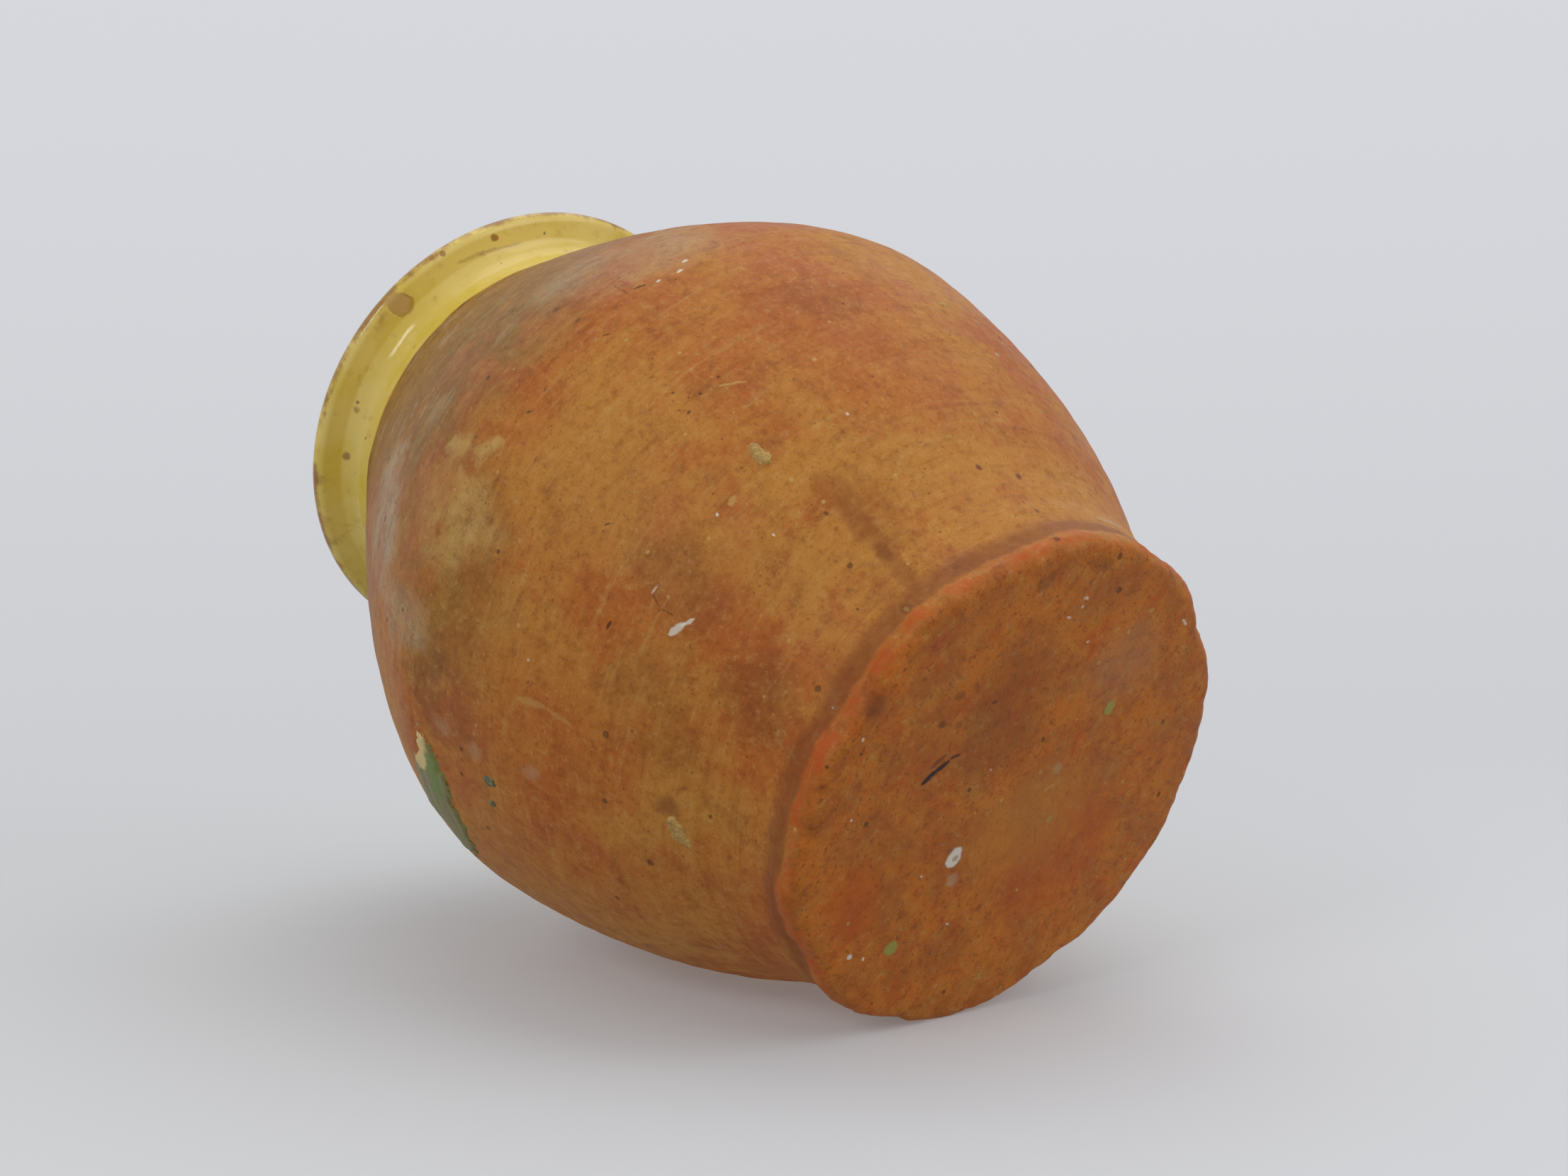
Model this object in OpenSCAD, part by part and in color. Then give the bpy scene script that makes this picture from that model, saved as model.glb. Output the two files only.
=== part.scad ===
// Grease pot: a round-bellied clay jar, thrown on a wheel, raw outside, with a
// glazed lining and a glazed collar whose lip is folded over.
// Millimetres, +Z up, origin at the centre of the base face.

/* [Whole pot] */
// Height from the base face to the top of the lip, glaze included
pot_h = 302; // [280:1:330]
// Diameter at the widest line of the belly
belly_d = 263; // [240:1:290]
// Height of the widest line of the belly
belly_z = 151; // [135:1:170]

/* [Foot] */
// Diameter of the foot at its edge
foot_d = 173; // [150:1:190]
// Radius that rounds the foot's edge into the base face
foot_round = 5; // [3:0.5:8]
// Thickness of the base slab, which is also the floor of the pot
foot_t = 13; // [10:0.5:18]
// Diameter of the wall where the foot's flare ends
flare_d = 196.6; // [186:0.2:212]
// Height where the foot's flare ends
flare_z = 46; // [38:1:56]
// Lean of the wall there, in degrees from upright
flare_lean = 31; // [24:1:38]
// Places where the foot's edge was pressed or worn: direction, depth, hollow's radius
foot_dents = [[-158, 2.6, 16], [-95, 4, 22], [-48, 2.2, 36], [-4, 1.4, 14],
              [23, 2.4, 20], [64, 1.2, 30], [121, 2.4, 28], [168, 1.6, 18]];
// Height left between the top of each press mark and the top of the slab
dent_runout = 1.5; // [1:0.5:3]

/* [Neck and lip] */
// Outside diameter of the neck at its narrowest
neck_d = 153; // [140:1:166]
// Height from the neck's narrowest line up to the top of the lip
neck_drop = 18; // [15:0.5:24]
// Outside diameter of the rim, glaze included
rim_d = 181; // [172:1:200]
// Thickness of the collar and of its round lip
lip_t = 5.6; // [4.6:0.2:7]
// Lean of the lip's underside, in degrees from upright
lip_lean = 75; // [62:1:82]
// Height from the foot of the glazed collar up to the neck's narrowest line
collar_drop = 9; // [6:0.5:14]
// Thickness of the clay that is folded down over the rim
fold_t = 2.2; // [1.6:0.1:2.6]
// Where the folded edge ends, as a share of the flare from the neck to the lip
fold_at = 0.64; // [0.5:0.02:0.76]
// Depth of the crease that the folded edge leaves
crease_t = 0.8; // [0.4:0.1:1.2]

/* [Wall] */
// Wall thickness just above the base slab
wall_foot_t = 9; // [7:0.5:11]
// Wall thickness at the widest line
wall_t = 6.5; // [5:0.5:9]
// Radius of the hollow's corner between floor and wall
floor_round = 18; // [14:1:24]
// Height of one throwing rib on the inside of the wall, from rib to rib
rib_pitch = 13; // [10:1:18]
// How far the throwing ribs stand out of the grooves between them
rib_h = 1.1; // [0.4:0.1:1.6]

/* [Glaze and marks] */
// Thickness of the glaze on the collar and in the hollow
glaze_t = 0.6; // [0.4:0.1:1]
// Direction of the kiln scar, in degrees round the pot
scar_az = -153; // [-180:1:180]
// Height of the kiln scar's middle
scar_z = 145; // [120:1:180]
// Length of the kiln scar round the wall
scar_l = 56; // [30:1:70]
// Height of the kiln scar
scar_h = 19; // [12:1:26]
// Thickness of the glaze left in the kiln scar
scar_t = 0.6; // [0.4:0.1:1.2]
// Thickness of the glaze drops on the wall
drop_t = 0.5; // [0.3:0.1:0.8]
// Thickness of the baked crusts on the wall
crust_t = 0.9; // [0.5:0.1:1.4]

/* [Hidden] */
$fn = 128;

clay_colour = "#b9713a";
crust_colour = "#c9a36a";
glaze_colour = "#c8ab48";
drop_colour = "#6f7a3c";

// Glaze drops and crusts on the wall: direction, height, length, height of the mark
drops = [[-139.9, 112.6, 5.5, 3.6], [-144.3, 113.4, 3.4, 3]];
crusts = [[-70, 72.5, 9, 7], [-134.5, 46, 10, 6.5], [-19.4, 108.6, 4.5, 4]];

// Handles of the curves, as shares of the span that each curve crosses
flare_ease = 0.42;
belly_rise = 0.514;
belly_turn = 0.038;
shoulder_turn = 0.33;
neck_turn = 0.045;
collar_rise = 0.72;
collar_reach = 0.6;
corner_ease = 0.55;

// Spacing of the points along the wall, and steps along the collar, lip and corner
wall_step = 3;
collar_steps = 14;
lip_steps = 12;
corner_steps = 8;
halvings = 20;
// Steps of the lip at which the fold ends and at which the two glazes meet
fold_stop = 8;
glaze_stop = 11;

belly_r = belly_d / 2;
foot_r = foot_d / 2;
flare_r = flare_d / 2;
neck_r = neck_d / 2;
neck_z = pot_h - neck_drop;
collar_z = neck_z - collar_drop;
lip_r = lip_t / 2;
lip_mid = [rim_d / 2 - glaze_t - lip_r, pot_h - glaze_t - lip_r];

function leaning(a) = [sin(a), cos(a)];
function curve(p, t) = pow(1 - t, 3) * p[0] + 3 * t * pow(1 - t, 2) * p[1]
    + 3 * t * t * (1 - t) * p[2] + pow(t, 3) * p[3];
function backwards(v) = [for (i = [len(v) - 1:-1:0]) v[i]];
function part(v, from, to) = [for (i = [from:to]) v[i]];

// The wall's outside: three curves, from the foot's edge up to the neck
foot_curve = let (rise = flare_z - foot_round)
    [[foot_r, foot_round], [foot_r - foot_round / 3, foot_round + 0.3 * rise],
     [flare_r, flare_z] - flare_ease * rise * leaning(flare_lean), [flare_r, flare_z]];
lower_curve = let (rise = belly_z - flare_z)
    [[flare_r, flare_z], [flare_r, flare_z] + belly_rise * rise * leaning(flare_lean),
     [belly_r, belly_z - belly_turn * rise], [belly_r, belly_z]];
upper_curve = let (rise = neck_z - belly_z)
    [[belly_r, belly_z], [belly_r, belly_z + shoulder_turn * rise],
     [neck_r, neck_z - neck_turn * rise], [neck_r, neck_z]];
collar_curve = let (end = lip_mid + lip_r * [cos(lip_lean), -sin(lip_lean)])
    [[neck_r, neck_z], [neck_r, neck_z + collar_rise * (end.y - neck_z)],
     end - collar_reach * (end.x - neck_r) * leaning(lip_lean), end];

// The step along a rising curve at which it reaches height z
function step_at(p, z, low = 0, high = 1, n = halvings) =
    let (mid = (low + high) / 2)
    n == 0 ? mid :
    curve(p, mid).y < z ? step_at(p, z, mid, high, n - 1) : step_at(p, z, low, mid, n - 1);
function wall_curve(z) = z < flare_z ? foot_curve : z < belly_z ? lower_curve : upper_curve;
function outside(z) =
    z == belly_z ? [belly_r, z] : z == neck_z ? [neck_r, z] :
    [curve(wall_curve(z), step_at(wall_curve(z), z)).x, z];
function square_to(d) = [d.y, -d.x] / norm(d);
function wall_normal(z) = z > neck_z - 0.2 || z == belly_z ? [1, 0] :
    square_to(outside(z + 0.1) - outside(z - 0.1));

// The wall's inside: thinner towards the lip, with throwing ribs between floor and neck
rib_from = foot_t + floor_round;
rib_count = floor((neck_z - neck_drop - rib_from) / rib_pitch);
function in_ribs(z) = z > rib_from && z < rib_from + rib_count * rib_pitch;
function rib(z) = in_ribs(z) ? rib_h / 2 * (1 - cos(360 * (z - rib_from) / rib_pitch)) : 0;
function mix(a, b, t) = a + (b - a) * t;
function thickness(z) = z < belly_z
    ? mix(wall_foot_t, wall_t, (z - foot_t) / (belly_z - foot_t))
    : mix(wall_t, lip_t, (z - belly_z) / (neck_z - belly_z));
function inside(z) = outside(z) - (thickness(z) - rib(z)) * wall_normal(z);

// Heights of the wall's points, in even steps between two heights
function heights(from, to) = let (n = ceil((to - from) / wall_step))
    [for (i = [0:n]) i == n ? to : from + (to - from) * i / n];
low_zs = heights(foot_t, belly_z);
high_zs = heights(belly_z, collar_z);
neck_zs = heights(collar_z, neck_z);
rib_zs = heights(rib_from, belly_z);
function outsides(zs) = [for (z = zs) outside(z)];
function insides(zs) = [for (z = zs) inside(z)];

// The hollow's corner, from the floor up to where the ribs start
corner = let (top = inside(rib_from), lean = inside(rib_from + 1) - top,
              start = [top.x - floor_round, foot_t], ease = corner_ease * floor_round)
    [start, start + [ease, 0], top - ease * lean / norm(lean), top];
corner_line = [for (i = [0:corner_steps - 1]) curve(corner, i / corner_steps)];

// The collar: its outside, the seam under the fold, the round lip and its inside
function slope_at(p, t) = curve(p, min(1, t + 0.01)) - curve(p, max(0, t - 0.01));
function under(t, depth) = curve(collar_curve, t) - depth * square_to(slope_at(collar_curve, t));
function shares(from, to, n) = [for (i = [0:n]) mix(from, to, i / n)];
groove = crease_t / norm(collar_curve[3] - collar_curve[0]);
below_fold = shares(1 / collar_steps, fold_at - groove, collar_steps / 2);
above_fold = shares(fold_at + groove, 1, collar_steps / 2);
crease = under(fold_at, crease_t);
fold_seam = [for (t = shares(fold_at, 1, collar_steps / 2)) under(t, fold_t)];
lip_line = [for (i = [0:lip_steps]) let (a = 180 * i / lip_steps - lip_lean)
    lip_mid + lip_r * [cos(a), sin(a)]];
collar_low = concat(outsides(neck_zs), [for (t = below_fold) curve(collar_curve, t)]);
collar_high = [for (t = part(above_fold, 0, len(above_fold) - 2)) curve(collar_curve, t)];
collar_in = [for (t = shares(1 - 1 / collar_steps, 1 / collar_steps, collar_steps)) under(t, lip_t)];

// The glazed skin: over the collar and lip, down the inside and across the floor
skin_outer = concat(collar_low, [crease], collar_high, part(lip_line, 0, glaze_stop));
skin_inner = concat(part(lip_line, glaze_stop, lip_steps), collar_in,
    backwards(insides(concat(rib_zs, part(high_zs, 1, len(high_zs) - 2), neck_zs))),
    backwards(corner_line), [[0, foot_t]]);
skin = concat(skin_outer, part(skin_inner, 1, len(skin_inner) - 1));
meet = len(skin_outer) - 1;
function coat(line, t) = [for (i = [0:len(line) - 1])
    line[i] + t * square_to(line[min(i + 1, len(line) - 1)] - line[max(i - 1, 0)])];
skin_face = coat(skin, glaze_t);

module turned(outline) { rotate_extrude() polygon(outline); }
module layer(line, face) { turned(concat(line, backwards(face))); }

// One hollow pressed into the foot's edge, which runs out below the slab's top
module foot_dent(az, depth, r) {
    drop = sqrt(2 * r * depth);
    rotate([0, 0, az])
        translate([foot_r + r - depth, 0, foot_t - dent_runout - drop]) sphere(r);
}

// A thin patch with an uneven outline that lies on the outside of the wall
function patch_outline(l, h) = [for (a = [0:15:345])
    (1 + 0.12 * cos(3 * a + 40) + 0.08 * cos(5 * a)) * [l / 2 * cos(a), h / 2 * sin(a)]];
module wall_patch(az, z, l, h, t) {
    wall_zs = concat(low_zs, part(high_zs, 1, len(high_zs) - 1));
    band = [for (p = outsides(wall_zs)) if (abs(p.y - z) < h * 0.6 + wall_step * 1.1) p];
    intersection() {
        layer(band, coat(band, t));
        rotate([0, 0, az]) translate([0, 0, z]) rotate([90, 0, 90])
            linear_extrude(belly_r + t + wall_step) polygon(patch_outline(l, h));
    }
}

// The thick round slab that the pot stands on, with its pressed and worn edge
module foot_slab() {
    edge = [for (a = [-90:15:0]) [foot_r, foot_round] + foot_round * [cos(a) - 1, sin(a)]];
    side = [for (z = heights(foot_round, foot_t)) if (z > foot_round) outside(z)];
    color(clay_colour) difference() {
        turned(concat([[0, 0]], edge, side, [[0, foot_t]]));
        for (d = foot_dents) foot_dent(d[0], d[1], d[2]);
    }
}

// The thrown wall from the slab up to the widest line, with ribs inside
module lower_wall() {
    color(clay_colour)
        turned(concat(outsides(low_zs), backwards(insides(rib_zs)), backwards(corner_line)));
}

// The thrown wall from the widest line in to the neck
module shoulder() {
    color(clay_colour) layer(outsides(high_zs), insides(high_zs));
}

// The neck and the flared collar, up to the inside of the lip
module collar() {
    color(clay_colour) turned(concat(collar_low, [crease], fold_seam,
        part(lip_line, fold_stop, lip_steps), collar_in, backwards(insides(neck_zs))));
}

// The edge of the collar, folded out and down over itself to thicken the rim
module rim_fold() {
    color(clay_colour) turned(concat([crease], collar_high, part(lip_line, 0, fold_stop),
        backwards(fold_seam)));
}

// The glaze that seals the hollow, from the floor up to the top of the lip
module inside_glaze() {
    color(glaze_colour) layer(part(skin, meet, len(skin) - 1), part(skin_face, meet, len(skin) - 1));
}

// The glaze over the outside of the collar and the rim
module collar_glaze() {
    color(glaze_colour) layer(part(skin, 0, meet), part(skin_face, 0, meet));
}

// Glaze torn from a neighbour in the kiln, left on the belly
module kiln_scar() {
    color(glaze_colour) wall_patch(scar_az, scar_z, scar_l, scar_h, scar_t);
}

// Small drops of glaze that fell on the raw wall
module glaze_drops() {
    color(drop_colour) for (d = drops) wall_patch(d[0], d[1], d[2], d[3], drop_t);
}

// Small crusts of clay and ash baked on to the raw wall
module wall_crusts() {
    color(crust_colour) for (c = crusts) wall_patch(c[0], c[1], c[2], c[3], crust_t);
}

foot_slab();
lower_wall();
shoulder();
collar();
rim_fold();
inside_glaze();
collar_glaze();
kiln_scar();
glaze_drops();
wall_crusts();
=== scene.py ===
"""Grease pot: a round-bellied clay jar, raw outside, with a glazed lining and collar.

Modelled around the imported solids, in metres: +Z up, the base face at height 0.
"""
import math

import bpy
from mathutils import Matrix, Vector, noise
from mathutils.geometry import interpolate_bezier


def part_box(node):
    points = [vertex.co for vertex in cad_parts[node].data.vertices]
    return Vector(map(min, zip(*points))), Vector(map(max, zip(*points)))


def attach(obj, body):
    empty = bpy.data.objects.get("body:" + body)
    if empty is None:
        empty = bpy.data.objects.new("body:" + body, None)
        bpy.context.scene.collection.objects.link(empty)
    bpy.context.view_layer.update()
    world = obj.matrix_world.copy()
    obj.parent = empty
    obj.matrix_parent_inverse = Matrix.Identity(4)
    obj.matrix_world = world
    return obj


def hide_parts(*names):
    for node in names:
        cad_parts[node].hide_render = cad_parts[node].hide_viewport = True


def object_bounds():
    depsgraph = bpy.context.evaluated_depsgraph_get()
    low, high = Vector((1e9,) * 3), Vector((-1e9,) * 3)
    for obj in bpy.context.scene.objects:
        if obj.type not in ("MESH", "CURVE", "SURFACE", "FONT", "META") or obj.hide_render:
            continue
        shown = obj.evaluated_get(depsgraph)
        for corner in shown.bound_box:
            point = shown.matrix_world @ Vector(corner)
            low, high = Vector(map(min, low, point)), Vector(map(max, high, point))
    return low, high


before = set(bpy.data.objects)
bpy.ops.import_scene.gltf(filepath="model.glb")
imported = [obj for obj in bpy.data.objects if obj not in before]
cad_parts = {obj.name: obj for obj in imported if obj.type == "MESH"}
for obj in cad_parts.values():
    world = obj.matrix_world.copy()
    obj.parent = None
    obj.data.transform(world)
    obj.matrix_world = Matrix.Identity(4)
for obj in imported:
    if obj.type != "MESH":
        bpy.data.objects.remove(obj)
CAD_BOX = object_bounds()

bl_info = {
    "name": "Grease pot",
    "version": (1, 0, 0),
    "blender": (4, 5, 0),
    "location": "3D View > Sidebar > Grease pot",
    "description": "Models a thrown clay pot with a glazed collar, and its studio",
    "category": "Object",
}

MM = 0.001

# Steps of the turned pieces round the axis
TURN_STEPS = 360

# Handles of the wall's curves, as shares of the span that each curve crosses
FLARE_EASE = 0.42
BELLY_RISE = 0.514
BELLY_TURN = 0.038
SHOULDER_TURN = 0.33
NECK_TURN = 0.045
COLLAR_RISE = 0.72
COLLAR_REACH = 0.6
CORNER_EASE = 0.55

# Places where the foot's edge was pressed in, or bulges where the depth is negative:
# degrees round the pot, height, depth and reach, in millimetres
FOOT_PRESSES = [
    (-158, 3, 2.6, 16), (-139, 4, -2.6, 15), (-122, 2, 0.9, 9), (-95, 1, 2.6, 22),
    (-73, 5, -0.7, 9), (-48, 3, 1.8, 30), (-4, 4, 1.2, 12), (23, 3, 2.2, 18),
    (64, 3, 1.1, 26), (121, 4, 2.4, 24), (168, 3, 1.5, 16),
]


def srgb(red, green, blue):
    """A colour given as a painter reads it, from 0 to 255, in the linear values that Blender uses."""
    def linear(value):
        value /= 255
        return value / 12.92 if value <= 0.04045 else ((value + 0.055) / 1.055) ** 2.4
    return (linear(red), linear(green), linear(blue))


def width_of(node):
    low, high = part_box(node)
    return high.x - low.x


def length(name, description, default):
    return bpy.props.FloatProperty(
        name=name, description=description, default=default, min=0.0, unit="LENGTH", precision=4)


def degrees(name, description, default):
    return bpy.props.FloatProperty(
        name=name, description=description, default=math.radians(default), subtype="ANGLE")


def share(name, description, default):
    return bpy.props.FloatProperty(
        name=name, description=description, default=default, min=0.0, max=1.0, subtype="FACTOR")


def colour(name, description, red, green, blue):
    return bpy.props.FloatVectorProperty(
        name=name, description=description, default=srgb(red, green, blue), size=3,
        min=0.0, max=1.0, subtype="COLOR")


class PotSizes(bpy.types.PropertyGroup):
    """Sizes of the pot"""
    pot_height: length("Height", "From the base face to the top of the lip", CAD_BOX[1].z)
    belly_diameter: length("Belly", "Diameter at the widest line", width_of("lower_wall"))
    belly_height: length("Belly height", "Height of the widest line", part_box("lower_wall")[1].z)
    foot_diameter: length("Foot", "Diameter of the foot at its edge", 0.173)
    foot_round: length("Foot edge", "Radius that rounds the foot into the base face", 0.005)
    slab: length("Base slab", "Thickness of the base slab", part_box("foot_slab")[1].z)
    flare_diameter: length("Flare", "Diameter where the foot's flare ends", 0.1966)
    flare_height: length("Flare height", "Height where the foot's flare ends", 0.046)
    flare_lean: degrees("Flare lean", "Lean of the wall there", 31)
    neck_diameter: length("Neck", "Outside diameter of the neck at its narrowest", 0.153)
    neck_drop: length("Neck drop", "From the top of the lip down to the narrowest line", 0.018)
    rim_diameter: length("Rim", "Outside diameter of the rim", width_of("collar_glaze"))
    lip: length("Lip", "Thickness of the collar and of its round lip", 0.0056)
    lip_lean: degrees("Lip lean", "Lean of the lip's underside", 75)
    collar_foot: length("Collar foot", "Height where the glaze ends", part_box("collar_glaze")[0].z)
    fold_at: share("Fold", "Where the folded edge ends, from the neck to the lip", 0.64)
    crease: length("Crease", "Depth of the crease that the folded edge leaves", 0.0008)
    wall_at_foot: length("Wall at the foot", "Wall thickness just above the base slab", 0.009)
    wall: length("Wall", "Wall thickness at the widest line", 0.0065)
    floor_round: length("Floor corner", "Radius of the hollow's corner", 0.018)
    rib_pitch: length("Rib pitch", "Height of one throwing rib in the hollow", 0.013)
    rib: length("Rib", "How far the throwing ribs stand out", 0.0011)
    glaze: length("Glaze", "Thickness of the glaze", 0.0006)


class PotColours(bpy.types.PropertyGroup):
    """Colours of the pot's finishes"""
    ochre: colour("Ochre clay", "Light ochre clay of the wall", 188, 126, 50)
    rust: colour("Rust clay", "Redder clay of the wall", 176, 94, 30)
    # Umber also paints the shade in the hollow just above the foot's edge.
    umber: colour("Umber", "Dark mottling on the clay", 118, 58, 20)
    olive: colour("Olive smoke", "Olive tint left by the kiln's smoke", 134, 102, 42)
    # Grey also paints sheen on the shoulder and a highlight along the collar's crease.
    grey: colour("Grey bloom", "Chalky grey bloom and scuffs", 180, 160, 130)
    cream: colour("Cream rub", "Cream rubbed patches", 196, 160, 92)
    purple: colour("Purple stain", "Purplish iron stains", 104, 52, 34)
    edge_red: colour("Fresh clay", "Orange-red clay where the foot is worn", 182, 76, 14)
    base: colour("Base clay", "Clay of the base face", 198, 116, 36)
    soot: colour("Soot", "Soot and dirt in pits and cracks", 44, 28, 18)
    paint: colour("Paint", "White paint spots", 224, 220, 208)
    lichen: colour("Green spots", "Yellow-green glaze spots", 152, 148, 72)
    drop_green: colour("Green drops", "Dark green drops on the wall", 74, 76, 46)
    glaze_light: colour("Glaze", "Honey glaze where it is pale", 230, 206, 112)
    glaze_deep: colour("Deep glaze", "Glaze where it lies thick", 222, 196, 84)
    glaze_brown: colour("Glaze brown", "Brown where the glaze is thin or worn", 152, 100, 40)
    chip: colour("Chip", "Bare clay in a chip of the glaze", 194, 158, 90)
    scar_cream: colour("Torn glaze", "Cream flakes of the kiln scar", 214, 188, 122)
    scar_green: colour("Green glaze", "Green glaze of the kiln scar", 100, 124, 30)
    scar_grey: colour("Dull glaze", "Dull grey-green glaze of the kiln scar", 122, 112, 58)
    crust: colour("Crust", "Baked crusts", 198, 164, 94)
    paper: colour("Paper", "The studio's pale paper", 218, 221, 226)


class StudioSettings(bpy.types.PropertyGroup):
    """Camera and lights"""
    camera_place: bpy.props.FloatVectorProperty(
        name="Camera place", description="Where the camera stands", size=3,
        default=(0.00981, -0.6012, -0.42798), subtype="TRANSLATION", unit="LENGTH")
    camera_rise: degrees("Camera rise", "How far the camera looks up", 42.93)
    camera_roll: degrees("Camera roll", "How far the camera leans over", 54.64)
    camera_lens: bpy.props.FloatProperty(
        name="Lens", description="Focal length on a 36 mm sensor", default=53.7,
        min=1.0, subtype="DISTANCE_CAMERA")
    camera_pitch: degrees("Table view", "How far the camera looks down on the table", 5.5)
    window_power: bpy.props.FloatProperty(
        name="Window", description="Power of the window light", default=4.0, min=0.0, unit="POWER")
    sky_power: bpy.props.FloatProperty(
        name="Overhead", description="Power of the overhead light", default=7.2, min=0.0, unit="POWER")
    side_power: bpy.props.FloatProperty(
        name="Side", description="Power of the side light", default=3.5, min=0.0, unit="POWER")
    room_strength: bpy.props.FloatProperty(
        name="Room", description="Strength of the light from all round", default=0.6, min=0.0)


def settings():
    scene = bpy.context.scene
    return scene.pot_sizes, scene.pot_colours, scene.pot_studio


# The turned outline, as points whose x is the distance from the axis and y the height

def leaning(angle):
    """A step up a line that leans outwards by this angle from upright."""
    return Vector((math.sin(angle), math.cos(angle)))


def bezier(start, handle, far_handle, end, points):
    return [v.xy for v in interpolate_bezier(
        start.to_3d(), handle.to_3d(), far_handle.to_3d(), end.to_3d(), points)]


def square_to(step):
    """The unit vector to the right of a step."""
    return Vector((step.y, -step.x)).normalized()


def offset(line, distance):
    """The line moved sideways, by one distance or by a distance for each point."""
    last = len(line) - 1
    moved = []
    for i, point in enumerate(line):
        side = square_to(line[min(i + 1, last)] - line[max(i - 1, 0)])
        moved.append(point + side * (distance[i] if isinstance(distance, list) else distance))
    return moved


def join_lines(*lines):
    """One line out of several that meet end to end."""
    joined = list(lines[0])
    for line in lines[1:]:
        joined += line[1:]
    return joined


def radius_at(line, height):
    """Distance from the axis at which a rising line reaches a height."""
    for low, high in zip(line, line[1:]):
        if low.y <= height <= high.y:
            return low.x + (high.x - low.x) * (height - low.y) / max(high.y - low.y, 1e-9)
    return line[-1].x if height > line[-1].y else line[0].x


class Outline:
    """Lines of the pot's wall, collar and lip, worked out from its sizes."""

    def __init__(self, s, fine=1.0):
        foot = Vector((s.foot_diameter / 2, s.foot_round))
        flare = Vector((s.flare_diameter / 2, s.flare_height))
        belly = Vector((s.belly_diameter / 2, s.belly_height))
        neck = Vector((s.neck_diameter / 2, s.pot_height - s.neck_drop))
        lean = leaning(s.flare_lean)
        rise = flare.y - foot.y
        self.flare = bezier(foot, foot + Vector((-s.foot_round / 3, 0.3 * rise)),
                            flare - FLARE_EASE * rise * lean, flare, int(26 * fine))
        rise = belly.y - flare.y
        self.lower = bezier(flare, flare + BELLY_RISE * rise * lean,
                            belly - Vector((0, BELLY_TURN * rise)), belly, int(42 * fine))
        rise = neck.y - belly.y
        self.upper = bezier(belly, belly + Vector((0, SHOULDER_TURN * rise)),
                            neck - Vector((0, NECK_TURN * rise)), neck, int(50 * fine))
        self.lip_radius = s.lip / 2
        self.lip_middle = Vector((s.rim_diameter / 2 - s.glaze - self.lip_radius,
                                  s.pot_height - s.glaze - self.lip_radius))
        end = self.lip_middle + self.lip_radius * Vector((math.cos(s.lip_lean), -math.sin(s.lip_lean)))
        self.collar = bezier(neck, neck + Vector((0, COLLAR_RISE * (end.y - neck.y))),
                             end - COLLAR_REACH * (end.x - neck.x) * leaning(s.lip_lean), end,
                             int(30 * fine))
        self.lip_lean = s.lip_lean
        self.neck = neck
        self.wall = join_lines(self.flare, self.lower, self.upper)

    def lip(self, start, stop, steps, stand=0.0):
        """The round lip, between two shares of its half turn."""
        line = []
        for i in range(steps + 1):
            angle = math.pi * (start + (stop - start) * i / steps) - self.lip_lean
            line.append(self.lip_middle + (self.lip_radius + stand)
                        * Vector((math.cos(angle), math.sin(angle))))
        return line

    def creased_collar(self, s):
        """The collar's outside, with the crease where the folded edge ends."""
        depth = []
        for i in range(len(self.collar)):
            away = (i / (len(self.collar) - 1) - s.fold_at) * len(self.collar)
            depth.append(-0.25 * s.crease * math.exp(-away * away / 8))
        return offset(self.collar, depth)

    def thickness(self, s, height):
        if height < s.belly_height:
            t = (height - s.slab) / (s.belly_height - s.slab)
            return s.wall_at_foot + (s.wall - s.wall_at_foot) * t
        t = (height - s.belly_height) / (self.neck.y - s.belly_height)
        return s.wall + (s.lip - s.wall) * t

    def rib(self, s, height):
        start = s.slab + s.floor_round
        count = int((self.neck.y - s.neck_drop - start) / s.rib_pitch)
        if not start < height < start + count * s.rib_pitch:
            return 0.0
        return s.rib / 2 * (1 - math.cos(math.tau * (height - start) / s.rib_pitch))

    def inside(self, s, extra=0.0):
        """The hollow's line from the middle of the floor up to the neck."""
        rising = [p for p in self.wall if p.y >= s.slab + s.floor_round]
        inner = [-(self.thickness(s, p.y) - self.rib(s, p.y) + extra) for p in rising]
        wall = offset(rising, inner)
        top = wall[0]
        start = Vector((top.x - s.floor_round, s.slab + extra))
        ease = CORNER_EASE * s.floor_round
        lean = (wall[2] - wall[0]).normalized()
        corner = bezier(start, start + Vector((ease, 0)), top - ease * lean, top, 12)
        floor = [Vector((start.x * i / 12, start.y)) for i in range(12)]
        return floor + join_lines(corner, wall)


# Modelling with Blender's own tools

def start_editing(piece):
    bpy.ops.object.select_all(action="DESELECT")
    piece.select_set(True)
    bpy.context.view_layer.objects.active = piece
    bpy.ops.object.mode_set(mode="EDIT")
    bpy.ops.mesh.select_all(action="DESELECT")


def stop_editing():
    bpy.ops.object.mode_set(mode="OBJECT")


def name_new(name):
    """Names the primitive that was just added."""
    piece = bpy.context.active_object
    piece.name = name
    piece.data.name = name
    return piece


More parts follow.
